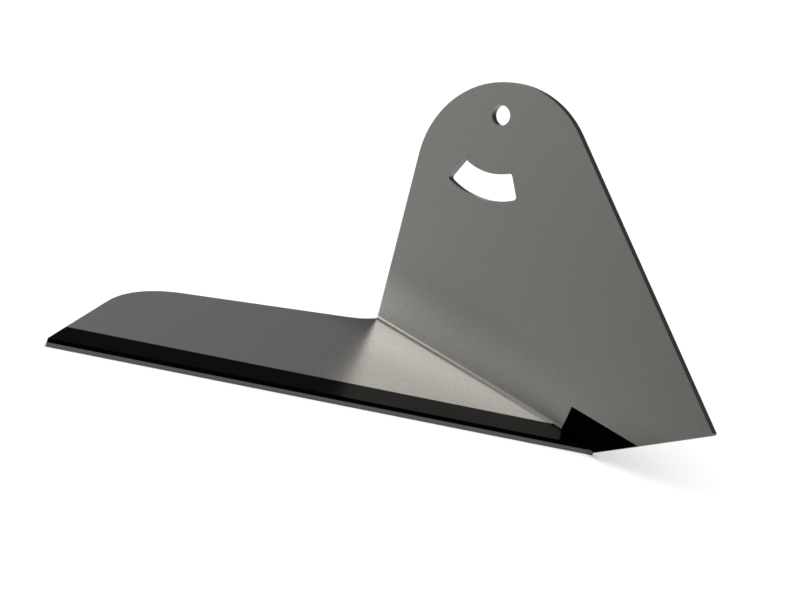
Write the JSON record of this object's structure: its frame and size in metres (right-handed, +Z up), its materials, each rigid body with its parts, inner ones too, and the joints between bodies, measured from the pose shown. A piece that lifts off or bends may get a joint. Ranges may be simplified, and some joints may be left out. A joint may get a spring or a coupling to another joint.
{
  "type": "hoe wing blade",
  "caption": "Angled hoe blade: a swept flat wing with a hard-metal cutting strip, and a leaning plate with a pivot hole and an arc slot for setting its pitch.",
  "frame": {"origin": "centre of the pivot hole at the plate's outer face, the one that clamps to the shank", "axes": "+X forward in the direction of travel and parallel to the fold, +Y to the plate's outer side, +Z up; the flat wing lies level and reaches out towards -Y, and the plate leans 13 degrees towards +Y, so the pivot hole points that much below +Y"},
  "size_m": [0.3276, 0.2864, 0.175],
  "materials": {
    "steel": "satin grey forged steel, fine even grain",
    "hard_metal": "black sintered hard metal, satin"
  },
  "bodies": {
    "root": {"wing_blade": "steel", "edge_strip": "hard_metal", "corner_tile": "hard_metal"}
  },
  "joints": []
}
